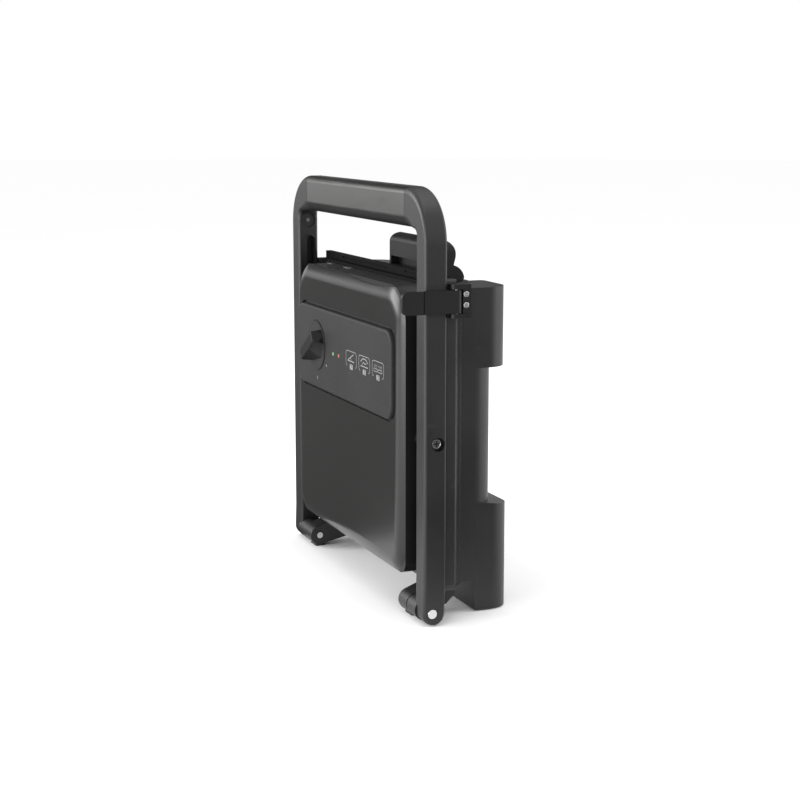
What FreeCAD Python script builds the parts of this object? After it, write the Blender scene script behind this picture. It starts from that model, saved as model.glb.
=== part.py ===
"""Electric contact grill standing on end in its storage position.

Millimetres, +Z up, near side +X, lid side -Y, base side +Y.  Depths are measured from the front plane
of the handle frame, heights from the floor; save() moves every sub-part so that the origin lies
on the floor at the middle of the footprint.
"""
import FreeCAD, Part
import math
import os

from FreeCAD import Vector

# ---- driving dimensions ---------------------------------------------------------------------------
ORIGIN_DEPTH = 36.9          # depth of the footprint's middle behind the frame's front plane

FRAME_HALF_W = 172.5         # outer side of the arms
ARM_W = 20.0
ARM_D = 20.3
FRAME_TOP = 372.0
FRAME_CORNER_R = 46.0        # outer corner of the handle frame
ARM_EDGE_R = 2.6
GRIP_H = 34.5
GRIP_LOWER_R = 10.0
GRIP_UPPER_R = 6.0
GRIP_SEAM_X = FRAME_HALF_W - FRAME_CORNER_R   # where the grip bar meets the arms' corners
DISH_Z = 327.0               # round recess on the arms' inner faces

HINGE_Y = 7.6                # main hinge between the base lugs and the arms
HINGE_Z = 11.2
END_Y = 9.2                  # rounded lower end of the arms
END_Z = 10.7
END_R = 9.9
LUG_R = 9.8                  # eyes on the base
HINGE_PIN_R = 3.0
LUG_IN = 118.0
LUG_OUT = 137.0

PIVOT_Y = 12.5               # side pivots that carry the lid
PIVOT_Z = 158.2
PIVOT_PIN_R = 3.5
PIVOT_BOSS_R = 7.0
PIVOT_SEAT_DEPTH = 6.0

LID_HALF_W = 139.0
LID_BOTTOM = 35.8
LID_TOP = 289.4
LID_FACE_Y = -8.0
LID_PARTING_Y = -3.0
LID_BACK_Y = 20.0
LID_FLOOR_Y = 12.0           # floor of the tray that holds the upper heater
LID_TOP_R = 34.0
LID_LOW_R = 24.0
LID_EDGE_R = 20.0            # soft rounding round the cover's face ...
LID_SPREAD = 5.2             # ... which would run this much wider if it went on behind the parting
UNDERFRAME_R = 12.0
COVER_T = 2.2

PANEL_HALF_W = 124.0
PANEL_BOTTOM = 171.5
PANEL_TOP = 249.5
PANEL_FACE_Y = -11.4
PANEL_EDGE_R = 2.0
PANEL_GAP = 2.6              # open groove round the panel
PANEL_R = 14.0
KNOB_X = -67.5
KNOB_Z = 213.0
DIAL_R = 23.6
KNOB_FRONT_Y = -22.6
KNOB_ANGLE = 33.0            # the grip bar's slope above the horizontal
LAMP_Z = 210.5
LAMP_GREEN_X = -21.3
LAMP_ORANGE_X = -5.9

PLATE_HALF_W = 149.5
UPPER_PLATE_HALF_W = 138.5
PLATE_BOTTOM = 39.0
UPPER_PLATE_TOP = 290.0
LOWER_PLATE_TOP = 296.4
RIB_PITCH = 12.0
RIB_W = 4.0

RIM_HALF_W = 169.0
RIM_BOTTOM = 27.6
RIM_TOP = 288.4
EAR_TOP = 296.6
RIM_FRONT_Y = 21.2
RIM_EDGE_Y = 30.0            # where the rim's side starts to slope inwards
RIM_BACK_Y = 37.3
SHELL_HALF_W = 144.5
SHELL_BOTTOM = 28.0
SHELL_TOP = 286.0
SHELL_REAR_Y = 79.0
SHELL_R = 20.0
SHELL_T = 2.6

FOOT_IN = 86.0
FOOT_LOWER_TOP = 97.6
FOOT_UPPER_BOTTOM = 216.6
FOOT_LOWER_REAR_Y = 95.6
FOOT_UPPER_REAR_Y = 92.2
FOOT_FRONT_Y = 60.0
FOOT_R = 20.0
PAD_PROUD = 1.0

CLASP_X0 = 173.0             # strap's inner and outer faces
CLASP_X1 = 177.2
CLASP_Z0 = 269.0
CLASP_Z1 = 288.2
CLASP_TAB_Y = -22.2
CLASP_PIVOT_X = 172.8
CLASP_PIVOT_Y = 28.0
CLASP_BARREL_R = 4.4

TRAY_X0 = 5.0
TRAY_X1 = 99.0
TRAY_Y0 = 52.0
TRAY_Y1 = 72.0
TRAY_BOTTOM = 196.0
GRIP_TAB_X0 = -15.0
GRIP_TAB_X1 = 100.0

GAP = 0.3                    # between sub-parts that move against each other
RUN = 0.05                   # radial clearance of a pin in its bore

X_AXIS = Vector(1, 0, 0)
Y_AXIS = Vector(0, 1, 0)
Z_AXIS = Vector(0, 0, 1)


# ---- helpers --------------------------------------------------------------------------------------
def box(x0, x1, y0, y1, z0, z1):
    return Part.makeBox(x1 - x0, y1 - y0, z1 - z0, Vector(x0, y0, z0))


def rod(start, axis, radius, length):
    return Part.makeCylinder(radius, length, Vector(*start), axis)


def prism(points, direction):
    """Straight-edged outline, swept along a vector."""
    loop = [Vector(*p) for p in points]
    return Part.Face(Part.makePolygon(loop + loop[:1])).extrude(direction)


def along(edge, axis):
    if not isinstance(edge.Curve, Part.Line):
        return False
    return abs(abs(edge.tangentAt(edge.FirstParameter).dot(axis)) - 1) < 1e-6


def round_edges(shape, radius, chosen):
    edges = [e for e in shape.Edges if chosen(e)]
    return shape.makeFillet(radius, edges) if edges else shape


def soft_box(x0, x1, y0, y1, z0, z1, radius, axis):
    """A box with its four edges along one axis rounded."""
    return round_edges(box(x0, x1, y0, y1, z0, z1), radius, lambda e: along(e, axis))


def lies_on(edge, axis, value):
    coordinate = {"x": 0, "y": 1, "z": 2}[axis]
    return all(abs(v.Point[coordinate] - value) < 1e-4 for v in edge.Vertexes) and abs(
        edge.valueAt((edge.FirstParameter + edge.LastParameter) / 2)[coordinate] - value) < 1e-4


def join(shapes):
    first = shapes[0]
    rest = list(shapes[1:])
    return first.fuse(rest).removeSplitter() if rest else first


def mirrored(shape):
    return shape.mirror(Vector(0, 0, 0), X_AXIS)


def pair(shape):
    return [shape, mirrored(shape)]


def save(name, *shapes):
    """One STEP file per sub-part; several shapes make a group of separate solids."""
    solids = [s for shape in shapes for s in shape.Solids]
    body = solids[0] if len(solids) == 1 else Part.makeCompound(solids)
    body = body.copy()
    body.translate(Vector(0, -ORIGIN_DEPTH, 0))
    body.exportStep("parts/" + name + ".step")


def polar(y, z, radius, degrees):
    a = math.radians(degrees)
    return y + radius * math.cos(a), z + radius * math.sin(a)


def tangent_angle(y, z, radius, py, pz, side):
    """Angle on a circle where the line from the point (py, pz) touches it."""
    distance = math.hypot(py - y, pz - z)
    return math.degrees(math.atan2(pz - z, py - y) + side * math.acos(radius / distance))


# ---- handle frame ---------------------------------------------------------------------------------
def arm_outline(x_in, joint_z):
    """Side view of the straight part of an arm, with its rounded lower end."""
    taper_z = 34.0
    front = polar(END_Y, END_Z, END_R, tangent_angle(END_Y, END_Z, END_R, 0, taper_z, 1))
    rear = polar(END_Y, END_Z, END_R, tangent_angle(END_Y, END_Z, END_R, ARM_D, taper_z, -1))
    low = polar(END_Y, END_Z, END_R, -90)

    def at(p):
        return Vector(x_in, p[0], p[1])

    return Part.Wire([
        Part.makeLine(at((0, joint_z)), at((0, taper_z))),
        Part.makeLine(at((0, taper_z)), at(front)),
        Part.Arc(at(front), at(low), at(rear)).toShape(),
        Part.makeLine(at(rear), at((ARM_D, taper_z))),
        Part.makeLine(at((ARM_D, taper_z)), at((ARM_D, joint_z))),
        Part.makeLine(at((ARM_D, joint_z)), at((0, joint_z))),
    ])


def rounded_wire(place, r0, r1, inner_r, outer_r):
    """Rounded rectangle from r0 to r1 and over the arm's depth; place(r, y) gives the point."""
    k = 1 - math.sqrt(0.5)
    corners = [(r0, 0, 1, 1, inner_r), (r1, 0, -1, 1, outer_r),
               (r1, ARM_D, -1, -1, outer_r), (r0, ARM_D, 1, -1, inner_r)]
    arcs = []
    for i, (r, y, sr, sy, radius) in enumerate(corners):
        along_r = place(r + sr * radius, y)
        along_y = place(r, y + sy * radius)
        middle = place(r + sr * radius * k, y + sy * radius * k)
        arcs.append((along_y, middle, along_r) if i % 2 == 0 else (along_r, middle, along_y))
    edges = []
    for i, (start, middle, end) in enumerate(arcs):
        edges.append(Part.Arc(start, middle, end).toShape())
        edges.append(Part.makeLine(end, arcs[(i + 1) % 4][0]))
    return Part.Wire(edges)


def corner_piece(x_in, joint_z):
    """Loft that turns the arm's section through a quarter circle into the grip's section."""
    cx = FRAME_HALF_W - FRAME_CORNER_R
    across = x_in - cx
    up = FRAME_TOP - GRIP_H - joint_z
    bend = 5.0
    sections = []
    for degrees in (0, 8, 16, 24, 34, 46, 60, 75, 90):
        a = math.radians(degrees)
        r_in = ((math.cos(a) / across) ** bend + (math.sin(a) / up) ** bend) ** (-1 / bend)
        t = degrees / 90
        share = t * t * (3 - 2 * t)

        def place(r, y, a=a):
            return Vector(cx + r * math.cos(a), y, joint_z + r * math.sin(a))

        sections.append(rounded_wire(place, r_in, FRAME_CORNER_R,
                                     ARM_EDGE_R + (GRIP_LOWER_R - ARM_EDGE_R) * share,
                                     ARM_EDGE_R + (GRIP_UPPER_R - ARM_EDGE_R) * share))
    return Part.makeLoft(sections, True, False)


def arm():
    """Right arm: straight bar with the hinge boss below and the corner that turns into the grip."""
    x_in = FRAME_HALF_W - ARM_W
    joint_z = FRAME_TOP - FRAME_CORNER_R
    straight = Part.Face(arm_outline(x_in, joint_z)).extrude(Vector(ARM_W, 0, 0))
    straight = round_edges(straight, ARM_EDGE_R, lambda e: (
        lies_on(e, "x", x_in) or lies_on(e, "x", FRAME_HALF_W)) and not lies_on(e, "z", joint_z))

    boss = rod((LUG_OUT + GAP, HINGE_Y, HINGE_Z), X_AXIS, LUG_R, x_in + 4 - LUG_OUT - GAP)
    boss = round_edges(boss, 1.5, lambda e: lies_on(e, "x", LUG_OUT + GAP))
    body = join([straight, corner_piece(x_in, joint_z), boss])

    # A long moulded recess and, above it, a round one for the grip screw, both on the inner face.
    slot = soft_box(x_in - 1, x_in + 3, 2.6, 17.6, 214.0, 312.0, 7.4, X_AXIS)
    channel = soft_box(x_in - 1, x_in + 12, 9.6, 17.4, 216.0, 310.5, 3.8, X_AXIS)
    dish = rod((x_in - 12, ARM_D / 2, DISH_Z), X_AXIS, 7.5, 14.0)
    screw_way = rod((x_in, ARM_D / 2, DISH_Z), X_AXIS, 1.9, 4.0)
    hinge_bore = rod((LUG_OUT - 1, HINGE_Y, HINGE_Z), X_AXIS, HINGE_PIN_R + RUN, 60)
    hinge_seat = rod((FRAME_HALF_W - 1.6, HINGE_Y, HINGE_Z), X_AXIS, 4.6, 3)
    pivot_bore = rod((x_in - 1, PIVOT_Y, PIVOT_Z), X_AXIS, PIVOT_PIN_R, 60)
    pivot_seat = rod((FRAME_HALF_W - PIVOT_SEAT_DEPTH, PIVOT_Y, PIVOT_Z), X_AXIS, 6.0, 8)
    return body.cut([slot, channel, dish, screw_way, hinge_bore, hinge_seat, pivot_bore, pivot_seat])


def grip_section(inset):
    """Solid with the grip bar's section, drawn in by inset."""
    z0 = FRAME_TOP - GRIP_H + inset
    z1 = FRAME_TOP - inset
    bar = box(-GRIP_SEAM_X, GRIP_SEAM_X, inset, ARM_D - inset, z0, z1)
    bar = round_edges(bar, GRIP_LOWER_R - inset, lambda e: along(e, X_AXIS) and e.Vertexes[0].Z < z0 + 1)
    return round_edges(bar, GRIP_UPPER_R - inset, lambda e: along(e, X_AXIS) and e.Vertexes[0].Z > z1 - 1)


def build_frame():
    right = arm()
    save("arm_right", right)
    save("arm_left", mirrored(right))

    # The grip: a moulded core with a sheet cover wrapped round its front and top.
    skin = 1.4
    split_z = FRAME_TOP - GRIP_H + 8.5
    reach = box(-GRIP_SEAM_X, GRIP_SEAM_X, -1, ARM_D - 5.0, split_z, FRAME_TOP + 1)
    outer = grip_section(0)
    inner = grip_section(skin)
    cover = outer.common(reach).cut(inner)
    cover = max(cover.Solids, key=lambda s: s.Volume)
    core = outer.cut(cover)
    bore = soft_box(-GRIP_SEAM_X + 8, GRIP_SEAM_X - 8, 5.5, 14.8, 346.0, 366.0, 3.0, X_AXIS)
    core = core.cut(bore)
    end_gap = box(-GRIP_SEAM_X, -GRIP_SEAM_X + 0.4, -1, 30, 330, 380)
    cover = cover.cut([end_gap, mirrored(end_gap)])
    save("grip_cover", cover)
    save("grip_core", core)

    head = rod((FRAME_HALF_W - ARM_W + 1.2, ARM_D / 2, DISH_Z), X_AXIS, 1.85, 2.8)
    save("grip_screws", *pair(head))

    pin = rod((LID_HALF_W + 0.4, PIVOT_Y, PIVOT_Z), X_AXIS, PIVOT_PIN_R, 28.0)
    pin_head = rod((FRAME_HALF_W - PIVOT_SEAT_DEPTH, PIVOT_Y, PIVOT_Z), X_AXIS, 4.2, 1.8)
    save("lid_pivot_pins", *pair(join([pin, pin_head])))


# ---- lid ------------------------------------------------------------------------------------------
def lid_block(y0, y1, inset, top_r, low_r):
    """Slab with the lid's outline, drawn in by inset and with its own corner radii."""
    block = box(-LID_HALF_W + inset, LID_HALF_W - inset, y0, y1, LID_BOTTOM + inset, LID_TOP - inset)
    block = round_edges(block, top_r, lambda e: along(e, Y_AXIS) and e.Vertexes[0].Z > PANEL_TOP)
    return round_edges(block, low_r, lambda e: along(e, Y_AXIS) and e.Vertexes[0].Z < PANEL_BOTTOM)


def domed_block(face_y, thickness):
    """Front of the lid with its soft edges, deeper than they need; thickness draws it in."""
    inset = thickness - LID_SPREAD
    edge_r = LID_EDGE_R - thickness
    block = lid_block(face_y, face_y + edge_r + 1, inset, LID_TOP_R - inset, LID_LOW_R - inset)
    return round_edges(block, edge_r, lambda e: lies_on(e, "y", face_y))


def build_cover():
    outer = domed_block(LID_FACE_Y, 0)
    outer = outer.common(box(-200, 200, LID_FACE_Y - 1, LID_PARTING_Y, 0, FRAME_TOP))
    inner = domed_block(LID_FACE_Y + COVER_T, COVER_T)
    window = soft_box(-PANEL_HALF_W - PANEL_GAP, PANEL_HALF_W + PANEL_GAP, LID_FACE_Y - 1, 0,
                      PANEL_BOTTOM - PANEL_GAP, PANEL_TOP + PANEL_GAP, PANEL_R + PANEL_GAP, Y_AXIS)
    # The top edge dips in a shallow arc on the near half.
    sag = 6.0
    half_chord = 78.0
    radius = (half_chord ** 2 + sag ** 2) / (2 * sag)
    scallop = rod((62.0, -20.0, LID_TOP - sag + radius), Y_AXIS, radius, 40.0)
    near = box(-40, 160, -30, 30, LID_TOP - 20, LID_TOP + 20)
    save("lid_cover", outer.cut([inner, window, scallop.common(near)]))


def clip_leaves():
    """Steel latches along the top edge that hold the upper plate."""
    return [box(x - w / 2, x + w / 2, 13.0, 17.0, LID_TOP - 7.4, LID_TOP - 1.2)
            for x, w in ((-99.0, 12.0), (-51.0, 15.0))]


def build_underframe():
    y0 = LID_PARTING_Y
    ring_inset = 1.8
    ring = lid_block(y0, LID_BACK_Y, ring_inset, LID_TOP_R - ring_inset, UNDERFRAME_R)
    well = lid_block(LID_FLOOR_Y, LID_BACK_Y + 1, 8.0, LID_TOP_R - 8.0, 5.0)
    window = lid_block(y0 - 1, LID_BACK_Y, 22.0, 10.0, 10.0)
    tongue_inset = 7.6
    pocket_inset = tongue_inset + 1.9
    pocket = lid_block(y0 - 3.0, LID_FLOOR_Y - 2.5, pocket_inset,
                       LID_TOP_R - pocket_inset, LID_LOW_R - pocket_inset)
    tongue = lid_block(y0 - 1.1, y0, tongue_inset, LID_TOP_R - tongue_inset, LID_LOW_R - tongue_inset)
    body = join([ring, tongue]).cut([well, window, pocket])
    boss_start = LID_HALF_W - 9
    boss_end = FRAME_HALF_W - ARM_W - GAP
    boss = rod((boss_start, PIVOT_Y, PIVOT_Z), X_AXIS, PIVOT_BOSS_R, boss_end - boss_start)
    bore = rod((LID_HALF_W - 1, PIVOT_Y, PIVOT_Z), X_AXIS, PIVOT_PIN_R + RUN, 20)
    body = join([body] + pair(boss)).cut(pair(bore) + clip_leaves())
    save("lid_underframe", body)


def build_panel():
    flange = 4.6
    back_y0 = LID_FACE_Y + COVER_T + 0.7
    back_y1 = back_y0 + 1.2
    face = soft_box(-PANEL_HALF_W, PANEL_HALF_W, PANEL_FACE_Y, back_y0,
                    PANEL_BOTTOM, PANEL_TOP, PANEL_R, Y_AXIS)
    face = round_edges(face, PANEL_EDGE_R, lambda e: lies_on(e, "y", PANEL_FACE_Y))
    back = soft_box(-PANEL_HALF_W - flange, PANEL_HALF_W + flange, back_y0, back_y1,
                    PANEL_BOTTOM - flange, PANEL_TOP + flange, PANEL_R, Y_AXIS)
    panel = join([face, back])
    shaft_way = rod((KNOB_X, -20, KNOB_Z), Y_AXIS, 3.4, 30)
    dial_seat = rod((KNOB_X, PANEL_FACE_Y - 2, KNOB_Z), Y_AXIS, DIAL_R + 0.7, 2.8)
    lamps = [rod((x, -20, LAMP_Z), Y_AXIS, 1.8, 30) for x in (LAMP_GREEN_X, LAMP_ORANGE_X)]
    save("control_panel", panel.cut([shaft_way, dial_seat] + lamps))
    for name, x in (("power_lamp", LAMP_GREEN_X), ("ready_lamp", LAMP_ORANGE_X)):
        lens = rod((x, PANEL_FACE_Y - 0.5, LAMP_Z), Y_AXIS, 1.75, 7.5)
        save(name, round_edges(lens, 0.5, lambda e: lies_on(e, "y", PANEL_FACE_Y - 0.5)))

    body = soft_box(KNOB_X - 17, KNOB_X + 17, back_y1, 9.0, KNOB_Z - 14, KNOB_Z + 14, 3.0, Y_AXIS)
    bore = rod((KNOB_X, -5, KNOB_Z), Y_AXIS, 3.0 + RUN, 8.0)
    save("thermostat", body.cut(bore))


def build_knob():
    shaft = rod((KNOB_X, PANEL_FACE_Y - 4.6, KNOB_Z), Y_AXIS, 3.0, 17.6)
    save("thermostat_shaft", shaft)
    dial = rod((KNOB_X, PANEL_FACE_Y - 0.9, KNOB_Z), Y_AXIS, DIAL_R, 1.3)
    save("knob_dial", dial.cut(rod((KNOB_X, -20, KNOB_Z), Y_AXIS, 3.0, 30)))

    # The grip bar tapers outwards from the dial and has a fuller skirt on its lower side.
    seat = PANEL_FACE_Y - 0.9

    def outline(y, corners):
        points = [Vector(x, y, z) for x, z in corners]
        return Part.makePolygon(points + points[:1])

    foot_corners = [(-21.2, -6.0), (8.0, -17.5), (21.2, -7.0), (21.2, 6.4), (-21.2, 6.4)]
    front_corners = [(-19.6, -5.3), (4.0, -5.3), (19.6, -5.3), (19.6, 5.3), (-19.6, 5.3)]
    bar = Part.makeLoft([outline(seat, foot_corners), outline(KNOB_FRONT_Y, front_corners)], True, True)
    bar = bar.common(rod((0, KNOB_FRONT_Y - 1, 0), Y_AXIS, 21.2, 20))
    bar = round_edges(bar, 1.0, lambda e: lies_on(e, "y", KNOB_FRONT_Y))
    bar = bar.cut(rod((0, PANEL_FACE_Y - 4.6, 0), Y_AXIS, 3.0, 20))
    bar.rotate(Vector(0, 0, 0), Y_AXIS, -KNOB_ANGLE)
    bar.translate(Vector(KNOB_X, 0, KNOB_Z))
    save("knob", bar)


def plate(half_w, y_back, y_slab, y_tip, z0, z1):
    """Ribbed cooking plate; y_tip is the side that faces the food."""
    lo, hi = sorted((y_back, y_slab))
    slab = soft_box(-half_w, half_w, lo, hi, z0, z1, 16.0, Y_AXIS)
    a, b = sorted((y_slab, y_tip))
    rim = soft_box(-half_w, half_w, a, b, z0, z1, 16.0, Y_AXIS)
    rim = rim.cut(soft_box(-half_w + 5, half_w - 5, a - 1, b + 1, z0 + 5, z1 - 5, 11.0, Y_AXIS))
    count = int((2 * half_w - 40) // RIB_PITCH)
    first = -RIB_PITCH * (count - 1) / 2
    ribs = [soft_box(first + i * RIB_PITCH - RIB_W / 2, first + i * RIB_PITCH + RIB_W / 2,
                     a, b, z0 + 14, z1 - 14, 1.9, Y_AXIS)
            for i in range(count)]
    return join([slab, rim] + ribs)


def heater(y, half_w, z0, z1, tube_r):
    """Sheathed element: four straight runs joined by half turns, with two terminals."""
    pitch = 2 * half_w / 3
    bend_r = pitch / 2
    low = z0 + bend_r
    high = z1 - bend_r
    pieces = []
    for i in range(4):
        x = -half_w + i * pitch
        start = z0 - 4 if i in (0, 3) else low
        pieces.append(rod((x, y, start), Z_AXIS, tube_r, high - start))
    for i in range(3):
        x = -half_w + (i + 0.5) * pitch
        up = i % 2 == 0
        ring = Part.makeTorus(bend_r, tube_r, Vector(x, y, high if up else low), Y_AXIS)
        half = (box(x - 90, x + 90, y - 20, y + 20, high, high + 90) if up
                else box(x - 90, x + 90, y - 20, y + 20, low - 90, low))
        pieces.append(ring.common(half))
    return join(pieces)


def build_lid_inside():
    upper = plate(UPPER_PLATE_HALF_W, 20.4, 24.0, 26.4, PLATE_BOTTOM, UPPER_PLATE_TOP)
    save("upper_plate", upper)
    save("upper_heater", heater(17.1, 96.0, 62.0, 262.0, 3.2))
    save("upper_reflector", soft_box(-114, 114, 12.2, 12.8, 60.0, 264.0, 6.0, Y_AXIS))
    save("plate_clips", *clip_leaves())
    screws = [rod((sx * 122.0, LID_FLOOR_Y, z), Y_AXIS, 3.2, 1.9)
              for sx in (-1, 1) for z in (50.0, 264.0)]
    save("lid_screws", *screws)


# ---- base -----------------------------------------------------------------------------------------
def build_rim():
    sides = [(RIM_HALF_W, RIM_FRONT_Y), (RIM_HALF_W, RIM_EDGE_Y), (156.0, RIM_BACK_Y)]
    loop = [(x, y, RIM_BOTTOM) for x, y in sides]
    loop += [(-x, y, RIM_BOTTOM) for x, y in reversed(sides)]
    block = prism(loop, Vector(0, 0, RIM_TOP - RIM_BOTTOM))
    block = round_edges(block, 1.6, lambda e: along(e, Z_AXIS)
                        and abs(e.Vertexes[0].Y - RIM_EDGE_Y) < 0.1)
    corners = box(-RIM_HALF_W, RIM_HALF_W, 0, 60, RIM_BOTTOM, RIM_TOP)
    corners = round_edges(corners, 7.0, lambda e: along(e, Y_AXIS))
    block = block.common(corners)
    well = box(-152.5, 152.5, RIM_FRONT_Y - 1, 33.6, 35.0, RIM_TOP + 1)
    window = box(-138.0, 138.0, 30.0, RIM_BACK_Y + 1, 46.0, 278.0)
    # A raised ear beside the clasp.
    ear = soft_box(154.0, RIM_HALF_W, RIM_FRONT_Y, RIM_EDGE_Y, RIM_TOP - 8, EAR_TOP, 3.0, Y_AXIS)
    clasp_way = rod((CLASP_PIVOT_X, CLASP_PIVOT_Y, CLASP_Z0 - 4.2), Z_AXIS, CLASP_BARREL_R + 0.8, 28.2)
    save("base_rim", join([block.cut([well, window]), ear]).cut(clasp_way))


def shell_outline(inset):
    """Plan outline of the tub: sloped shoulders, flat sides and rounded rear corners."""
    hw = SHELL_HALF_W - inset
    rear = SHELL_REAR_Y - inset
    r = SHELL_R - inset
    d = r * (1 - math.sqrt(0.5))
    front = RIM_BACK_Y + (0 if inset == 0 else -1)

    def at(x, y):
        return Vector(x, y, 0)

    return Part.Face(Part.Wire([
        Part.makeLine(at(-153 + inset, front), at(153 - inset, front)),
        Part.makeLine(at(153 - inset, front), at(153 - inset, 40.5)),
        Part.makeLine(at(153 - inset, 40.5), at(hw, 46.0)),
        Part.makeLine(at(hw, 46.0), at(hw, rear - r)),
        Part.Arc(at(hw, rear - r), at(hw - d, rear - d), at(hw - r, rear)).toShape(),
        Part.makeLine(at(hw - r, rear), at(-hw + r, rear)),
        Part.Arc(at(-hw + r, rear), at(-hw + d, rear - d), at(-hw, rear - r)).toShape(),
        Part.makeLine(at(-hw, rear - r), at(-hw, 46.0)),
        Part.makeLine(at(-hw, 46.0), at(-153 + inset, 40.5)),
        Part.makeLine(at(-153 + inset, 40.5), at(-153 + inset, front)),
    ]))


def shell_solid(inset, z0, z1):
    solid = shell_outline(inset).extrude(Vector(0, 0, z1 - z0))
    solid.translate(Vector(0, 0, z0))
    return solid


def foot(z0, z1, rear_y, sloped):
    """Right-hand foot, hollow towards the tub; the lower one's top falls away to the rear."""
    front = FOOT_FRONT_Y
    block = box(FOOT_IN, SHELL_HALF_W, front, rear_y, z0, z1)
    block = round_edges(block, FOOT_R, lambda e: along(e, Z_AXIS) and e.Vertexes[0].X > 140
                        and e.Vertexes[0].Y > rear_y - 1)
    block = round_edges(block, 5.0, lambda e: along(e, Z_AXIS) and e.Vertexes[0].X < FOOT_IN + 1
                        and e.Vertexes[0].Y > rear_y - 1)
    if sloped:
        drop = 4.0
        wedge = prism([(0, 66, z1), (0, rear_y + 1, z1 - drop), (0, rear_y + 1, z1 + 5), (0, 66, z1 + 5)],
                      Vector(200, 0, 0))
        block = block.cut(wedge)
    block = block.cut(shell_solid(0, SHELL_BOTTOM, SHELL_TOP))
    cavity_z0 = max(z0 + 4, SHELL_BOTTOM + 4)
    cavity = box(FOOT_IN + 4, SHELL_HALF_W - 22, SHELL_REAR_Y - 1, rear_y - 4, cavity_z0, z1 - 8)
    return block.cut(cavity)


def build_shell():
    outer = shell_solid(0, SHELL_BOTTOM, SHELL_TOP)
    inner = shell_solid(SHELL_T, SHELL_BOTTOM + SHELL_T, SHELL_TOP - SHELL_T)
    tray_way = box(TRAY_X0 - 1.0, TRAY_X1 + 1.0, TRAY_Y0 - 1.0, TRAY_Y1 + 1.0,
                   SHELL_TOP - 4, SHELL_TOP + 1)
    gland_way = rod((0, 62.0, SHELL_BOTTOM - 1), Z_AXIS, 7.0, 6)
    screw_ways = [rod((sx * 60.0, SHELL_REAR_Y - 4, z), Y_AXIS, 2.6, 6)
                  for sx in (-1, 1) for z in (60.0, 150.0)]
    save("base_shell", outer.cut([inner, tray_way, gland_way] + screw_ways))
    heads = []
    for sx in (-1, 1):
        for z in (60.0, 150.0):
            stem = rod((sx * 60.0, SHELL_REAR_Y - 3.4, z), Y_AXIS, 2.5, 3.4)
            heads.append(join([stem, rod((sx * 60.0, SHELL_REAR_Y, z), Y_AXIS, 4.2, 1.6)]))
    save("shell_screws", *heads)

    lower = foot(PAD_PROUD, FOOT_LOWER_TOP, FOOT_LOWER_REAR_Y, True)
    upper = foot(FOOT_UPPER_BOTTOM, SHELL_TOP, FOOT_UPPER_REAR_Y, False)
    pads = []
    for shape, name, rear_y, z in ((lower, "foot_lower", FOOT_LOWER_REAR_Y, 52.0),
                                   (upper, "foot_upper", FOOT_UPPER_REAR_Y, 252.0)):
        seat = rod((110.0, rear_y - 1.5, z), Y_AXIS, 9.0, 4)
        cuts = [seat]
        pad = rod((110.0, rear_y - 1.5, z), Y_AXIS, 9.0, 1.5 + PAD_PROUD)
        pads += pair(round_edges(pad, 0.6, lambda e: lies_on(e, "y", rear_y + PAD_PROUD)))
        if name == "foot_lower":
            cuts.append(soft_box(98, 126, 68, 86, -1, PAD_PROUD + 1.5, 4.0, Z_AXIS))
        shape = shape.cut(cuts)
        save(name + "_right", shape)
        save(name + "_left", mirrored(shape))
    save("rear_pads", *pads)
    stand = soft_box(98, 126, 68, 86, 0, PAD_PROUD + 1.5, 4.0, Z_AXIS)
    save("stand_pads", *pair(stand))


def build_lugs():
    """Lugs under the tub, each with a heel that stands on the floor and its hinge pin pressed in."""
    top_y = 23.0
    heel = (35.6, 7.6)
    root = (44.0, 16.0)
    lower = polar(HINGE_Y, HINGE_Z, LUG_R, tangent_angle(HINGE_Y, HINGE_Z, LUG_R, *heel, -1))
    upper = polar(HINGE_Y, HINGE_Z, LUG_R,
                  tangent_angle(HINGE_Y, HINGE_Z, LUG_R, top_y, RIM_BOTTOM, 1))
    side = [lower, heel, root, (root[0], SHELL_BOTTOM), (RIM_BACK_Y, SHELL_BOTTOM),
            (RIM_BACK_Y, RIM_BOTTOM), (top_y, RIM_BOTTOM), upper]
    web = prism([(LUG_IN, y, z) for y, z in side], Vector(LUG_OUT - LUG_IN, 0, 0))
    eye = rod((LUG_IN, HINGE_Y, HINGE_Z), X_AXIS, LUG_R, LUG_OUT - LUG_IN)
    stand = soft_box(LUG_IN + 1.5, LUG_OUT - 1.5, 3.5, 13.0, 0, 5.0, 2.0, Z_AXIS)
    lug = join([web, eye, stand])
    lug = round_edges(lug, 1.0, lambda e: lies_on(e, "x", LUG_IN) and e.BoundBox.YMax < 20)
    lug = lug.cut(rod((LUG_IN - 1, HINGE_Y, HINGE_Z), X_AXIS, HINGE_PIN_R, 40))
    save("hinge_lug_right", lug)
    save("hinge_lug_left", mirrored(lug))
    pin = rod((LUG_IN - 0.6, HINGE_Y, HINGE_Z), X_AXIS, HINGE_PIN_R, FRAME_HALF_W - LUG_IN + 0.2)
    head = rod((FRAME_HALF_W - 1.5, HINGE_Y, HINGE_Z), X_AXIS, 4.2, 1.8)
    pin = join([pin, round_edges(head, 0.6, lambda e: lies_on(e, "x", FRAME_HALF_W + 0.3))])
    save("hinge_pin_right", pin)
    save("hinge_pin_left", mirrored(pin))


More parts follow.
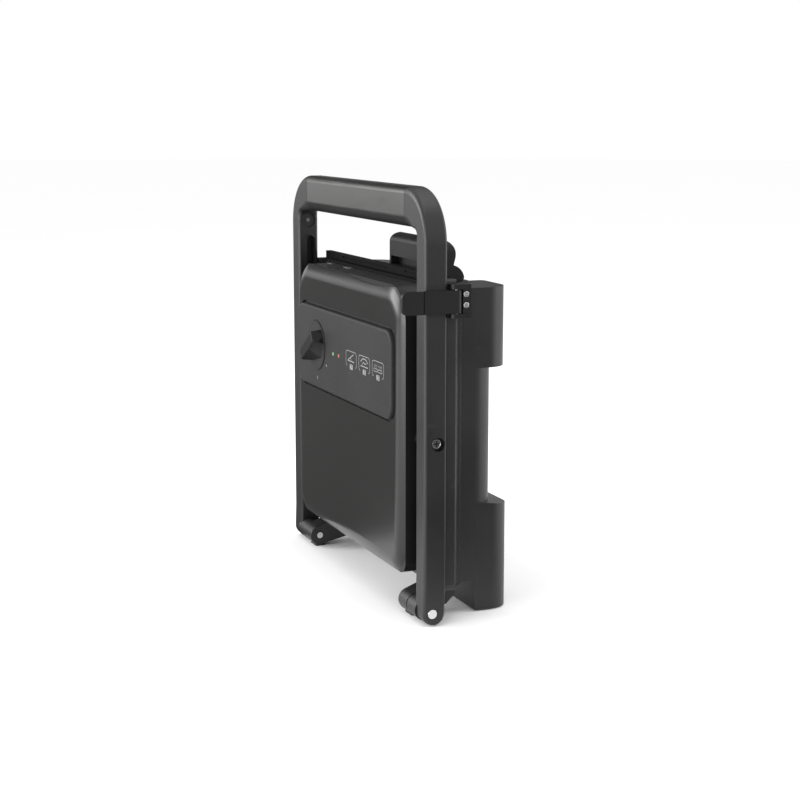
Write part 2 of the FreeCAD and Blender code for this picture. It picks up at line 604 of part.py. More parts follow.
def build_base_inside():
    lower = plate(PLATE_HALF_W, 33.2, 29.4, 27.0, PLATE_BOTTOM, LOWER_PLATE_TOP - 6.4)
    lip = box(-PLATE_HALF_W, PLATE_HALF_W, 27.6, 33.2, LOWER_PLATE_TOP - 22, LOWER_PLATE_TOP)
    channel = box(-100, 20, 26.0, 28.6, LOWER_PLATE_TOP - 3.4, LOWER_PLATE_TOP - 1.8)
    second = box(60, 118, 26.0, 28.6, LOWER_PLATE_TOP - 3.4, LOWER_PLATE_TOP - 1.8)
    hollow = box(-PLATE_HALF_W + 5, PLATE_HALF_W - 5, 26.0, 29.4, LOWER_PLATE_TOP - 30,
                 LOWER_PLATE_TOP - 11.4)
    save("lower_plate", join([lower, lip.cut(hollow)]).cut([channel, second]))
    save("lower_heater", heater(36.5, 96.0, 62.0, 262.0, 3.2))
    save("lower_reflector", soft_box(-114, 114, 42.0, 42.6, 56.0, 268.0, 6.0, Y_AXIS))
    block = soft_box(-80, -40, 50.0, 60.0, 34.0, 52.0, 2.0, Y_AXIS)
    ways = [rod((-74.0 + i * 9.3, 49.0, 43.0), Y_AXIS, 2.2, 6.0) for i in range(4)]
    save("terminal_block", block.cut(ways))
    save("thermal_fuse", rod((20.0, 51.2, 150.0), X_AXIS, 2.4, 26.0))
    gland = join([rod((0, 62.0, SHELL_BOTTOM - 5), Z_AXIS, 9.0, 5.0),
                  rod((0, 62.0, SHELL_BOTTOM), Z_AXIS, 6.9, 5.2)])
    save("cord_gland", gland.cut(rod((0, 62.0, 10), Z_AXIS, 3.6, 40)))


def build_bracket():
    """Keeper on the base: a block with two ears that carry the clasp's upright pin."""
    y0 = CLASP_PIVOT_Y + CLASP_BARREL_R + 0.4
    y1 = 40.4
    screw_y = 35.9
    screw_z = (275.4, 284.6)
    z0 = 264.8
    z1 = 293.0
    block = soft_box(156.5, 175.6, y0, y1, z0, z1, 1.5, X_AXIS)
    ears = [box(164.0, 177.0, 22.4, y0 + 3, a, b) for a, b in ((z0, CLASP_Z0 - 0.6), (CLASP_Z1 + 0.7, z1))]
    ears = [round_edges(e, 4.0, lambda edge: along(edge, Z_AXIS) and edge.Vertexes[0].Y < 23
                        and edge.Vertexes[0].X > 170) for e in ears]
    body = join([block] + ears)
    rim_side = prism([(140, 20, z0 - 9), (RIM_HALF_W, 20, z0 - 9), (RIM_HALF_W, RIM_EDGE_Y, z0 - 9),
                      (156.0, RIM_BACK_Y, z0 - 9), (156.0, 60, z0 - 9), (140, 60, z0 - 9)],
                     Vector(0, 0, 60))
    body = body.cut(rim_side)
    pin_way = rod((CLASP_PIVOT_X, CLASP_PIVOT_Y, z0 - 1), Z_AXIS, 1.6, 40)
    seats = [rod((173.6, screw_y, z), X_AXIS, 2.6, 4) for z in screw_z]
    save("clasp_bracket", body.cut([pin_way] + seats))
    save("clasp_pin", rod((CLASP_PIVOT_X, CLASP_PIVOT_Y, z0), Z_AXIS, 1.6, z1 - z0))
    screws = []
    for z in screw_z:
        head = round_edges(rod((173.6, screw_y, z), X_AXIS, 2.5, 2.3), 0.6, lambda e: lies_on(e, "x", 175.9))
        screws.append(head.cut(box(175.2, 177, 32, 40, z - 0.4, z + 0.4)))
    save("bracket_screws", *screws)


def build_clasp():
    front = CLASP_TAB_Y
    strap = box(CLASP_X0, CLASP_X1, front, CLASP_PIVOT_Y, CLASP_Z0, CLASP_Z1)
    strap = round_edges(strap, 5.0, lambda e: along(e, X_AXIS) and e.Vertexes[0].Y < front + 1)
    barrel = rod((CLASP_PIVOT_X, CLASP_PIVOT_Y, CLASP_Z0), Z_AXIS, CLASP_BARREL_R, CLASP_Z1 - CLASP_Z0)
    body = join([strap, barrel])
    crease = box(CLASP_X1 - 0.8, CLASP_X1 + 1, -3.2, -2.2, CLASP_Z0 - 1, CLASP_Z1 + 1)
    body = body.cut([crease, rod((CLASP_PIVOT_X, CLASP_PIVOT_Y, 200), Z_AXIS, 1.6 + RUN, 120)])
    save("clasp_strap", body)


def build_tray():
    wall = 1.8
    outer = soft_box(TRAY_X0, TRAY_X1, TRAY_Y0, TRAY_Y1, TRAY_BOTTOM, SHELL_TOP + 1.2, 3.0, Y_AXIS)
    inner = soft_box(TRAY_X0 + wall, TRAY_X1 - wall, TRAY_Y0 - 1, TRAY_Y1 - wall,
                     TRAY_BOTTOM + wall, SHELL_TOP - 3.0, 2.0, Y_AXIS)
    save("drip_tray", outer.cut(inner))

    # The pull is a wavy strip: it rises behind the plates and curls back over the tub's top edge.
    def at(y, z):
        return Vector(GRIP_TAB_X0, y, z)

    top = SHELL_TOP + 1.2
    front = 43.0
    crest = 323.8
    outline = Part.Wire([
        Part.makeLine(at(front, 291.4), at(front, 316.0)),
        Part.Arc(at(front, 316.0), at(45.6, 321.6), at(50.5, crest)).toShape(),
        Part.Arc(at(50.5, crest), at(58.2, 316.8), at(59.2, 307.6)).toShape(),
        Part.makeLine(at(59.2, 307.6), at(57.6, 301.4)),
        Part.Arc(at(57.6, 301.4), at(64.4, 297.4), at(67.8, 290.4)).toShape(),
        Part.makeLine(at(67.8, 290.4), at(66.4, top)),
        Part.makeLine(at(66.4, top), at(54.0, top)),
        Part.makeLine(at(54.0, top), at(front, 291.4)),
    ])
    pull = Part.Face(outline).extrude(Vector(GRIP_TAB_X1 - GRIP_TAB_X0, 0, 0))
    mask = soft_box(GRIP_TAB_X0, GRIP_TAB_X1, 30, 80, top - 20, crest + 0.1, 10.5, Y_AXIS)
    finger_slot = soft_box(GRIP_TAB_X0 + 3.5, GRIP_TAB_X1 - 3.5, front - 1, front + 8.0,
                           294.2, 302.0, 2.0, Y_AXIS)
    pull = pull.common(mask).cut(finger_slot)
    save("tray_pull", pull)


def main():
    os.makedirs("parts", exist_ok=True)
    build_frame()
    build_cover()
    build_underframe()
    build_panel()
    build_knob()
    build_lid_inside()
    build_rim()
    build_shell()
    build_lugs()
    build_base_inside()
    build_bracket()
    build_clasp()
    build_tray()


main()
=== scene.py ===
"""Looks for an electric contact grill that stands on end in its storage position.

Metres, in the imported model's own frame: +Z up, clasp side +X, lid side -Y, base side +Y.
"""
import math

import bmesh
import bpy
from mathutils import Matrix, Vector


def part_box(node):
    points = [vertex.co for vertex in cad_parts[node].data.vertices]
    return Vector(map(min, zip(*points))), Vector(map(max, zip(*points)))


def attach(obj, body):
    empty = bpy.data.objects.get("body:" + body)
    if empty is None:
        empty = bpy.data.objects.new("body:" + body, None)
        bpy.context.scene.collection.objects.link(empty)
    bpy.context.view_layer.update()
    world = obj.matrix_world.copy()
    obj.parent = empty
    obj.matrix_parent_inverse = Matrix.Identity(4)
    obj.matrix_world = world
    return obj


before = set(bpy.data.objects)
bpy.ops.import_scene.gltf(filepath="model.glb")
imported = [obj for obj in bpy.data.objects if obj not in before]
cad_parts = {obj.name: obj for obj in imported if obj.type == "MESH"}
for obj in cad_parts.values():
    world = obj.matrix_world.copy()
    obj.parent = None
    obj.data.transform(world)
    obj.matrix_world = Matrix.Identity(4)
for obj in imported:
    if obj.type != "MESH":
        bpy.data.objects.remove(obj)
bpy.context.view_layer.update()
MM = 0.001

X_AXIS = Vector((1, 0, 0))
Y_AXIS = Vector((0, 1, 0))
Z_AXIS = Vector((0, 0, 1))
SIDES = ("left", "right")


def mid(node):
    """The middle of a CAD node's box, in metres."""
    low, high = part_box(node)
    return (low + high) / 2


# ---- materials --------------------------------------------------------------------------------------
class Graph:
    """A procedural material: one Principled shader and small helpers that feed its sockets."""

    def __init__(self, name, **constants):
        self.material = bpy.data.materials.new(name)
        self.material.use_nodes = True
        self.tree = self.material.node_tree
        self.tree.nodes.clear()
        self.shader = self.add("ShaderNodeBsdfPrincipled")
        output = self.add("ShaderNodeOutputMaterial")
        self.tree.links.new(self.shader.outputs[0], output.inputs[0])
        self.place = self.add("ShaderNodeTexCoord").outputs["Object"]
        for socket, value in constants.items():
            self.shader.inputs[socket.replace("_", " ")].default_value = value

    def add(self, kind, **settings):
        made = self.tree.nodes.new(kind)
        for key, value in settings.items():
            setattr(made, key, value)
        return made

    def feed(self, node, socket, value):
        if isinstance(value, bpy.types.NodeSocket):
            self.tree.links.new(value, node.inputs[socket])
        else:
            node.inputs[socket].default_value = value

    def noise(self, scale, detail=3.0, stretch=(1, 1, 1)):
        mapping = self.add("ShaderNodeMapping")
        self.feed(mapping, "Vector", self.place)
        self.feed(mapping, "Scale", stretch)
        made = self.add("ShaderNodeTexNoise")
        self.feed(made, "Vector", mapping.outputs[0])
        self.feed(made, "Scale", scale)
        self.feed(made, "Detail", detail)
        return made.outputs["Fac"]

    def cells(self, scale):
        made = self.add("ShaderNodeTexVoronoi")
        self.feed(made, "Vector", self.place)
        self.feed(made, "Scale", scale)
        return made.outputs["Distance"]

    def spread(self, value, low, high, to_low=0.0, to_high=1.0):
        """Maps the part of a value between low and high onto another range."""
        made = self.add("ShaderNodeMapRange", clamp=True)
        for socket, number in zip(range(5), (value, low, high, to_low, to_high)):
            self.feed(made, socket, number)
        return made.outputs[0]

    def maths(self, operation, a, b):
        made = self.add("ShaderNodeMath", operation=operation)
        self.feed(made, 0, a)
        self.feed(made, 1, b)
        return made.outputs[0]

    def blend(self, amount, a, b):
        made = self.add("ShaderNodeMix", data_type="RGBA")
        self.feed(made, "Factor", amount)
        for socket, value in ((6, a), (7, b)):
            self.feed(made, socket, value if isinstance(value, bpy.types.NodeSocket) else (*value, 1.0))
        return made.outputs[2]

    def edges(self, radius):
        """1 along convex and concave edges, 0 on flat faces."""
        bevel = self.add("ShaderNodeBevel", samples=4)
        self.feed(bevel, "Radius", radius)
        true = self.add("ShaderNodeNewGeometry").outputs["Normal"]
        dot = self.add("ShaderNodeVectorMath", operation="DOT_PRODUCT")
        self.feed(dot, 0, bevel.outputs[0])
        self.feed(dot, 1, true)
        return self.spread(dot.outputs["Value"], 0.995, 0.88)

    def bump(self, height, distance, strength=1.0, under=None):
        made = self.add("ShaderNodeBump")
        self.feed(made, "Strength", strength)
        self.feed(made, "Distance", distance)
        self.feed(made, "Height", height)
        if under is not None:
            self.feed(made, "Normal", under)
        return made.outputs[0]

    def done(self, colour, roughness, normal=None):
        self.feed(self.shader, "Base Color", colour)
        self.feed(self.shader, "Roughness", roughness)
        if normal is not None:
            self.feed(self.shader, "Normal", normal)
        return self.material


def tinted(colour, factor):
    """The colour made lighter or darker."""
    return tuple(min(1.0, c * factor) for c in colour)


def moulded(name, colour, rough, grain=0.00003, grain_scale=1600.0, wear=0.35, specular=0.4):
    """Moulded plastic: spark-eroded grain, faint flow marks, rubbed edges and a few hairline scuffs."""
    flow = 0.06
    g = Graph(name, Specular_IOR_Level=specular)
    cloud = g.noise(14.0, 4.0)
    fine = g.noise(grain_scale, 2.0)
    broad = g.noise(grain_scale * 0.28, 2.0)
    scuff = g.spread(g.noise(90.0, 6.0, (9.0, 0.6, 1.4)), 0.655, 0.70)
    worn = g.maths("MULTIPLY", g.edges(0.0011), g.spread(g.noise(60.0, 5.0), 0.35, 0.62))
    base = g.blend(cloud, tinted(colour, 0.88), tinted(colour, 1.16))
    base = g.blend(g.maths("MULTIPLY", scuff, 0.22), base, tinted(colour, 2.0))
    base = g.blend(g.maths("MULTIPLY", worn, wear), base, tinted(colour, 2.3))
    roughness = g.spread(cloud, 0.3, 0.7, rough - flow, rough + flow)
    roughness = g.maths("ADD", roughness, g.maths("MULTIPLY", scuff, 0.10))
    roughness = g.maths("SUBTRACT", roughness, g.maths("MULTIPLY", worn, 0.08))
    normal = g.bump(broad, grain * 2.0, 0.5, g.bump(fine, grain))
    return g.done(base, roughness, normal)


def painted(name, colour, rough, specular):
    """Sheet steel under smooth dark paint: fine metal flake, slight orange peel, soft wipe marks."""
    bare_edge = (0.06, 0.059, 0.057)
    g = Graph(name, Specular_IOR_Level=specular)
    flake = g.spread(g.cells(2600.0), 0.05, 0.0)
    cloud = g.noise(9.0, 4.0)
    wipe = g.noise(18.0, 4.0, (0.7, 1.0, 2.0))
    worn = g.maths("MULTIPLY", g.edges(0.0008), g.spread(g.noise(80.0, 5.0), 0.42, 0.66))
    base = g.blend(cloud, tinted(colour, 0.9), tinted(colour, 1.14))
    base = g.blend(g.maths("MULTIPLY", flake, 0.35), base, tinted(colour, 3.2))
    base = g.blend(g.maths("MULTIPLY", worn, 0.15), base, bare_edge)
    roughness = g.spread(wipe, 0.2, 0.8, rough - 0.02, rough + 0.02)
    peel = g.noise(300.0, 2.0)
    return g.done(base, roughness, g.bump(peel, 0.00003, 0.25))


def brushed(name, colour, rough, stretch, anisotropic=0.4, stain=0.0):
    """Bare metal with fine lines along the direction of least stretch, and heat stains if asked for."""
    groove = 0.00002
    burnt = (0.20, 0.13, 0.08)
    g = Graph(name, Metallic=1.0, Specular_IOR_Level=0.5, Anisotropic=anisotropic)
    lines = g.noise(1500.0, 3.0, stretch)
    cloud = g.noise(22.0, 4.0)
    worn = g.edges(0.0006)
    base = g.blend(lines, tinted(colour, 0.94), tinted(colour, 1.06))
    base = g.blend(g.maths("MULTIPLY", g.spread(cloud, 0.45, 0.75), stain), base, burnt)
    base = g.blend(g.maths("MULTIPLY", worn, 0.3), base, tinted(colour, 1.5))
    roughness = g.maths("ADD", g.spread(lines, 0.3, 0.7, rough - 0.03, rough + 0.03),
                        g.spread(cloud, 0.4, 0.8, 0.0, 0.05))
    return g.done(base, roughness, g.bump(lines, groove, 0.3))


def coated(name, colour, rough, specular):
    """Non-stick coating on cast aluminium: speckled, slightly pebbled."""
    bare_speck = (0.10, 0.10, 0.105)
    g = Graph(name, Specular_IOR_Level=specular)
    speck = g.spread(g.cells(900.0), 0.16, 0.08)
    pick = g.spread(g.noise(210.0, 2.0), 0.52, 0.62)
    specks = g.maths("MULTIPLY", speck, pick)
    cloud = g.noise(12.0, 4.0)
    base = g.blend(cloud, tinted(colour, 0.8), tinted(colour, 1.2))
    base = g.blend(g.maths("MULTIPLY", specks, 0.5), base, bare_speck)
    roughness = g.spread(cloud, 0.3, 0.7, rough - 0.05, rough + 0.07)
    return g.done(base, roughness, g.bump(g.noise(700.0, 3.0), 0.00008, 0.5))


def lens(name, colour, glow):
    """Tinted clear plastic with a faint glow of its own."""
    g = Graph(name, Transmission_Weight=0.35, IOR=1.49, Emission_Strength=glow)
    g.shader.inputs["Emission Color"].default_value = (*colour, 1.0)
    mottle = g.noise(900.0, 2.0)
    base = g.blend(mottle, tinted(colour, 0.9), tinted(colour, 1.1))
    return g.done(base, g.spread(mottle, 0.3, 0.7, 0.10, 0.18))


def ink(name, colour):
    """Pad-printed marking: slightly uneven, matt."""
    g = Graph(name, Specular_IOR_Level=0.3)
    patch = g.noise(1300.0, 3.0)
    base = g.blend(g.spread(patch, 0.35, 0.65), tinted(colour, 0.82), colour)
    return g.done(base, g.spread(patch, 0.3, 0.7, 0.5, 0.62), g.bump(patch, 0.00002, 0.4))


LOOKS = {
    "frame_plastic": moulded("look_frame", (0.007, 0.007, 0.0073), 0.44, specular=0.5),
    "grip_metal": brushed("look_grip", (0.12, 0.119, 0.117), 0.30, (0.02, 1.0, 1.0)),
    "black_plastic": moulded("look_black", (0.006, 0.006, 0.0063), 0.42, specular=0.30),
    "cover_paint": painted("look_cover", (0.007, 0.0067, 0.0063), 0.25, specular=0.46),
    "panel_plastic": moulded("look_panel", (0.026, 0.026, 0.026), 0.46, specular=0.14, wear=0.5),
    "knob_plastic": moulded("look_knob", (0.0035, 0.0035, 0.0037), 0.40, specular=0.30),
    "base_plastic": moulded("look_base", (0.013, 0.013, 0.0133), 0.40, specular=0.40),
    "plate_coating": coated("look_plate", (0.004, 0.004, 0.0043), 0.5, specular=0.04),
    "steel": brushed("look_steel", (0.62, 0.62, 0.61), 0.24, (1.0, 1.0, 1.0), anisotropic=0.0),
    "dark_steel": brushed("look_dark_steel", (0.20, 0.20, 0.20), 0.34, (1.0, 1.0, 1.0), anisotropic=0.0),
    "heater_sheath": brushed("look_heater", (0.20, 0.19, 0.18), 0.45, (1.0, 1.0, 0.05), stain=0.6),
    "reflector": brushed("look_reflector", (0.72, 0.72, 0.73), 0.28, (1.0, 1.0, 0.03), stain=0.25),
    "rubber": moulded("look_rubber", (0.012, 0.012, 0.012), 0.68, grain=0.00005, grain_scale=1100.0,
                      wear=0.15, specular=0.25),
    "lens_green": lens("look_green", (0.20, 0.42, 0.27), 0.12),
    "lens_orange": lens("look_orange", (0.45, 0.17, 0.12), 0.14),
    "insulator": moulded("look_insulator", (0.62, 0.60, 0.55), 0.5, wear=0.1),
}
PRINT = ink("look_print", (0.24, 0.24, 0.24))

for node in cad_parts.values():
    for place in node.material_slots:
        place.material = LOOKS[place.material.name]


# ---- mesh helpers -----------------------------------------------------------------------------------
SMOOTH_UP_TO = math.radians(40.0)


def piece(name, mesh_maker, slot_name, body, look=None):
    """Turns a filled bmesh into an object that rides on a body."""
    bmesh.ops.recalc_face_normals(mesh_maker, faces=mesh_maker.faces)
    data = bpy.data.meshes.new(name)
    mesh_maker.to_mesh(data)
    mesh_maker.free()
    for face in data.polygons:
        face.use_smooth = True
    data.set_sharp_from_angle(angle=SMOOTH_UP_TO)
    made = bpy.data.objects.new(name, data)
    bpy.context.scene.collection.objects.link(made)
    data.materials.append(look or LOOKS[slot_name])
    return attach(made, body)


def ribbon(bm, points, width, closed, plane):
    """A flat line of constant width; plane(x, z, level) gives the 3-D point, level 0 or 1."""
    count = len(points)
    rails = []
    for i, here in enumerate(points):
        before = points[(i - 1) % count] if closed or i else here
        after = points[(i + 1) % count] if closed or i < count - 1 else here
        a = Vector(here) - Vector(before)
        b = Vector(after) - Vector(here)
        a = a.normalized() if a.length else b.normalized()
        b = b.normalized() if b.length else a
        along = (a + b).normalized()
        side = Vector((-along.y, along.x))
        reach = width / 2 / max(0.4, side.dot(Vector((-a.y, a.x))))
        rails.append((Vector(here) + side * reach, Vector(here) - side * reach))
    rows = [[bm.verts.new(plane(p.x, p.y, level)) for p, level in
             ((left, 0), (left, 1), (right, 1), (right, 0))] for left, right in rails]
    last = count if closed else count - 1
    for i in range(last):
        here, following = rows[i], rows[(i + 1) % count]
        for k in range(4):
            j = (k + 1) % 4
            bm.faces.new((here[k], here[j], following[j], following[k]))
    if not closed:
        bm.faces.new(rows[0])
        bm.faces.new(reversed(rows[-1]))


def slab(bm, points, plane):
    """A filled outline of some thickness."""
    low = [bm.verts.new(plane(x, z, 0)) for x, z in points]
    high = [bm.verts.new(plane(x, z, 1)) for x, z in points]
    bm.faces.new(low)
    bm.faces.new(reversed(high))
    for i in range(len(points)):
        j = (i + 1) % len(points)
        bm.faces.new((low[i], low[j], high[j], high[i]))


def rounded(x0, x1, z0, z1, radius, steps=6):
    """Outline of a rectangle with rounded corners."""
    out = []
    for cx, cz, start in ((x1 - radius, z1 - radius, 0), (x0 + radius, z1 - radius, 90),
                          (x0 + radius, z0 + radius, 180), (x1 - radius, z0 + radius, 270)):
        for i in range(steps + 1):
            a = math.radians(start + 90 * i / steps)
            out.append((cx + radius * math.cos(a), cz + radius * math.sin(a)))
    return out


def arc(cx, cz, radius, start, end, steps):
    """Points along an arc; the angles are in degrees."""
    return [(cx + radius * math.cos(math.radians(start + (end - start) * i / steps)),
             cz + radius * math.sin(math.radians(start + (end - start) * i / steps)))
            for i in range(steps + 1)]


# ---- control panel prints ---------------------------------------------------------------------------
# Places on the panel are millimetres from its middle: x to the clasp side, z upwards.
PANEL = mid("control_panel") / MM
PANEL_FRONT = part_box("control_panel")[0].y
DIAL = mid("knob_dial") / MM
PRINT_T = 0.00008                 # thickness of the ink, in metres
PICTURES = (27.4, 60.6, 94.2)     # middles of the three pictures
NUMBER_Z = -5.5                   # height of the numbers' middle
FRAME_LINE, THICK_LINE, THIN_LINE = 0.6, 0.9, 0.55


def on_panel(x, z, level):
    """A point on the panel's face, or at the top of the ink at level 1."""
    return Vector(((PANEL.x + x) * MM, PANEL_FRONT - level * PRINT_T, (PANEL.z + z) * MM))


def on_number_box(x, z, level):
    """The same on top of the number boxes, sunk in a little so that no gap shows."""
    return Vector(((PANEL.x + x) * MM, PANEL_FRONT - PRINT_T * (0.8 + 0.8 * level), (PANEL.z + z) * MM))


def line(bm, points, width):
    """An open printed line on the panel."""
    ribbon(bm, points, width, False, on_panel)


def build_closed_picture(bm, x):
    """Plates pressed together: the lid's line rises from the hinge over the base's line."""
    hinge = (x - 9.5, -0.3)
    line(bm, [hinge, (hinge[0] + 15.5, hinge[1] + 6.9)], THICK_LINE)
    line(bm, [hinge, (hinge[0] + 17.0, hinge[1])], THICK_LINE)
    line(bm, arc(*hinge, 9.0, 3, 21, 6), FRAME_LINE)


def build_hover_picture(bm, x):
    """The lid hovers over food."""
    line(bm, [(x - 9.0, 3.1), (x - 5.0, 5.9), (x, 6.4), (x + 5.0, 5.9), (x + 9.0, 3.1)], THICK_LINE)
    line(bm, [(x - 5.0, 1.3), (x - 1.5, 3.3), (x + 2.0, 1.9), (x + 5.5, 2.9)], 0.8)
    line(bm, [(x - 9.0, -0.6), (x + 9.0, -0.6)], THICK_LINE)


def build_flat_picture(bm, x):
    """Both plates lie flat with heat rising from them."""
    for middle in (x - 5.4, x + 5.4):
        ribbon(bm, rounded(middle - 4.6, middle + 4.6, -0.5, 1.9, 0.8, 3), FRAME_LINE, True, on_panel)
        for k in (-1, 0, 1):
            heat = middle + k * 2.6
            line(bm, [(heat, 3.3), (heat + 0.6, 4.5), (heat, 5.7)], THIN_LINE)


def build_dial_marks(bm):
    """Two temperature marks beside the dial."""
    near, far = 30.0, 33.0
    x, z = DIAL.x - PANEL.x, DIAL.z - PANEL.z
    for degrees in (-31.0, -88.0):
        a = math.radians(degrees)
        line(bm, [(x + radius * math.cos(a), z + radius * math.sin(a)) for radius in (near, far)], 1.1)


def build_prints():
    half_width, low, high, corner = 13.6, -5.1, 8.7, 3.2
    bm = bmesh.new()
    for x in PICTURES:
        outline = rounded(x - half_width, x + half_width, low, high, corner)
        # From the lower right corner round to the lower left one: open below, where the number stands.
        lower_right = len(outline) * 3 // 4
        line(bm, outline[lower_right:] + outline[:lower_right], FRAME_LINE)
    for build_picture, x in zip((build_closed_picture, build_hover_picture, build_flat_picture), PICTURES):
        build_picture(bm, x)
    build_dial_marks(bm)
    piece("panel_print", bm, None, "lid", PRINT)

    half_box, half_tall = 3.6, 2.4
    boxes = bmesh.new()
    for x in PICTURES:
        slab(boxes, rounded(x - half_box, x + half_box, NUMBER_Z - half_tall, NUMBER_Z + half_tall, 1.0, 4),
             on_panel)
    piece("number_boxes", boxes, None, "lid", PRINT)


NUMBER_STROKES = {
    "1": [(-0.9, 0.9), (0.2, 1.9), (0.2, -1.9)],
    "2": [(-1.1, 1.0), (-0.5, 1.8), (0.6, 1.8), (1.1, 1.0), (0.7, 0.1), (-1.1, -1.8), (1.2, -1.8)],
    "3": [(-1.1, 1.5), (0.0, 1.9), (1.0, 1.3), (0.8, 0.3), (-0.1, 0.1), (0.9, -0.2), (1.1, -1.1),
          (0.0, -1.9), (-1.2, -1.5)],
}


def build_numbers():
    bm = bmesh.new()
    for middle, digit in zip(PICTURES, "123"):
        stroke = [(middle + x, NUMBER_Z + z) for x, z in NUMBER_STROKES[digit]]
        ribbon(bm, stroke, THIN_LINE, False, on_number_box)
    piece("numbers", bm, "black_plastic", "lid")


build_prints()
build_numbers()


# ---- rings and ribs too fine for the CAD, and dark sheets painted as the shade in recesses and vent slots ---
def turned(name, centre, axis, profile, slot_name, body, steps):
    """A body of revolution; profile holds (radius, distance along the axis) in millimetres."""
    side = axis.orthogonal().normalized()
    up = axis.cross(side)
    bm = bmesh.new()
    rows = []
    for i in range(steps):
        a = 2 * math.pi * i / steps
        out = side * math.cos(a) + up * math.sin(a)
        rows.append([bm.verts.new(centre + (out * radius + axis * height) * MM)
                     for radius, height in profile])
    for i in range(steps):
        here, following = rows[i], rows[(i + 1) % steps]
        for k in range(len(profile)):
            j = (k + 1) % len(profile)
            bm.faces.new((here[k], here[j], following[j], following[k]))
    return piece(name, bm, slot_name, body)


def cross_recess_shade(bm, centre, axis, reach, width):
    """Dark four-armed star on a screw head: a thin flat sheet painted as the shade inside the cross recess."""
    thick = 0.06
    side = Z_AXIS - axis * Z_AXIS.dot(axis)
    side = side.normalized() if side.length > 0.1 else X_AXIS
    up = axis.cross(side)
    points = []
    for quarter in range(4):
        a = math.pi / 2 * quarter
        for u, v in ((width, -width), (reach, -width * 0.7), (reach, width * 0.7)):
            points.append((u * math.cos(a) - v * math.sin(a), u * math.sin(a) + v * math.cos(a)))

    def place(x, z, level):
        return centre + (side * x + up * z + axis * (level * thick)) * MM

    # Painted shade: a flat dark star laid on the head stands in for the shadowed inside of the cross recess.
    slab(bm, points, place)


def ends_along_x(node):
    """Middles of a node's left and right ends, each with the axis that points out of it."""
    low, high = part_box(node)
    centre = mid(node)
    return [(Vector((x, centre.y, centre.z)), axis) for x, axis in ((low.x, -X_AXIS), (high.x, X_AXIS))]


def build_screw_recess_shades():
    """Dark stars painted as the shade inside the cross recesses in the heads of the tub's screws and of the
    lid's pivot pins.
    """
    head_r = 4.2 * MM
    low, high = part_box("shell_screws")
    bm = bmesh.new()
    for x in (low.x + head_r, high.x - head_r):
        for z in (low.z + head_r, high.z - head_r):
            cross_recess_shade(bm, Vector((x, high.y, z)), Y_AXIS, 2.5, 0.55)
    piece("screw_recess_shades", bm, "black_plastic", "base")

    bm = bmesh.new()
    for centre, axis in ends_along_x("lid_pivot_pins"):
        cross_recess_shade(bm, centre, axis, 2.6, 0.6)
    piece("pivot_recess_shades", bm, "black_plastic", "frame")


def build_pivot_rings():
    """Bright rolled edges on the pivot heads, and dark rings on the ends of the hinge pins."""
    head_edge = [(3.2, -0.05), (3.5, 0.25), (3.9, 0.25), (4.15, -0.05)]
    for side, (centre, axis) in zip(SIDES, ends_along_x("lid_pivot_pins")):
        turned("pivot_ring_" + side, centre, axis, head_edge, "steel", "frame", 40)
    pin_ring = [(1.3, -0.2), (1.5, -0.02), (2.6, -0.02), (2.8, -0.2)]
    for index, side in enumerate(SIDES):
        centre, axis = ends_along_x("hinge_pin_" + side)[index]
        turned("hinge_ring_" + side, centre, axis, pin_ring, "dark_steel", "base", 28)


def build_pad_rings():
    """Raised rings on the rubber pads of the rear feet."""
    pad_r, pad_t = 9.0 * MM, 1.0 * MM
    ring = [(3.6, -0.3), (4.0, -0.02), (5.6, -0.02), (6.0, -0.3)]
    low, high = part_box("rear_pads")
    rows = (("foot_lower_right", low.z + pad_r), ("foot_upper_right", high.z - pad_r))
    places = [(x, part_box(foot)[1].y + pad_t, z) for foot, z in rows for x in (low.x + pad_r, high.x - pad_r)]
    for letter, place in zip("abcd", places):
        turned("pad_ring_" + letter, Vector(place), Y_AXIS, ring, "rubber", "base", 36)


# Places on the tub's rear wall are millimetres from its middle: x to the clasp side, z upwards.
SHELL = mid("base_shell") / MM
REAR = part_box("base_shell")[1].y / MM


def on_rear(lift, thick, turn=1):
    """A plane on the rear wall, lifted off it; turn -1 makes x run as it reads from behind."""
    def place(x, z, level):
        return Vector((SHELL.x + x * turn, REAR + lift + level * thick, SHELL.z + z)) * MM
    return place


def build_rating_plate():
    """A blank label with a printed border and empty lines."""
    half_width, half_tall, below_middle = 32.0, 16.0, 45.0
    margin = 2.0

    def outline(inset, corner):
        return rounded(inset - half_width, half_width - inset, inset - half_tall - below_middle,
                       half_tall - inset - below_middle, corner)

    bm = bmesh.new()
    slab(bm, outline(0.0, 3.0), on_rear(0.02, 0.25))
    piece("rating_label", bm, "reflector", "base")

    on_label = on_rear(0.25, 0.06, turn=-1)
    bm = bmesh.new()
    ribbon(bm, outline(margin, 2.0), 0.5, True, on_label)
    text_left = -26.0
    for up, text_right in ((9.0, 4.0), (4.0, 3.0), (-1.0, -2.0), (-8.0, 22.0)):
        ribbon(bm, [(x, up - below_middle) for x in (text_left, text_right)], 0.9, False, on_label)
    for x in (12.0, 21.0):
        box = rounded(x - 3.2, x + 3.2, 0.5 - below_middle, 7.0 - below_middle, 0.8)
        ribbon(bm, box, 0.5, True, on_label)
    piece("rating_print", bm, "black_plastic", "base")


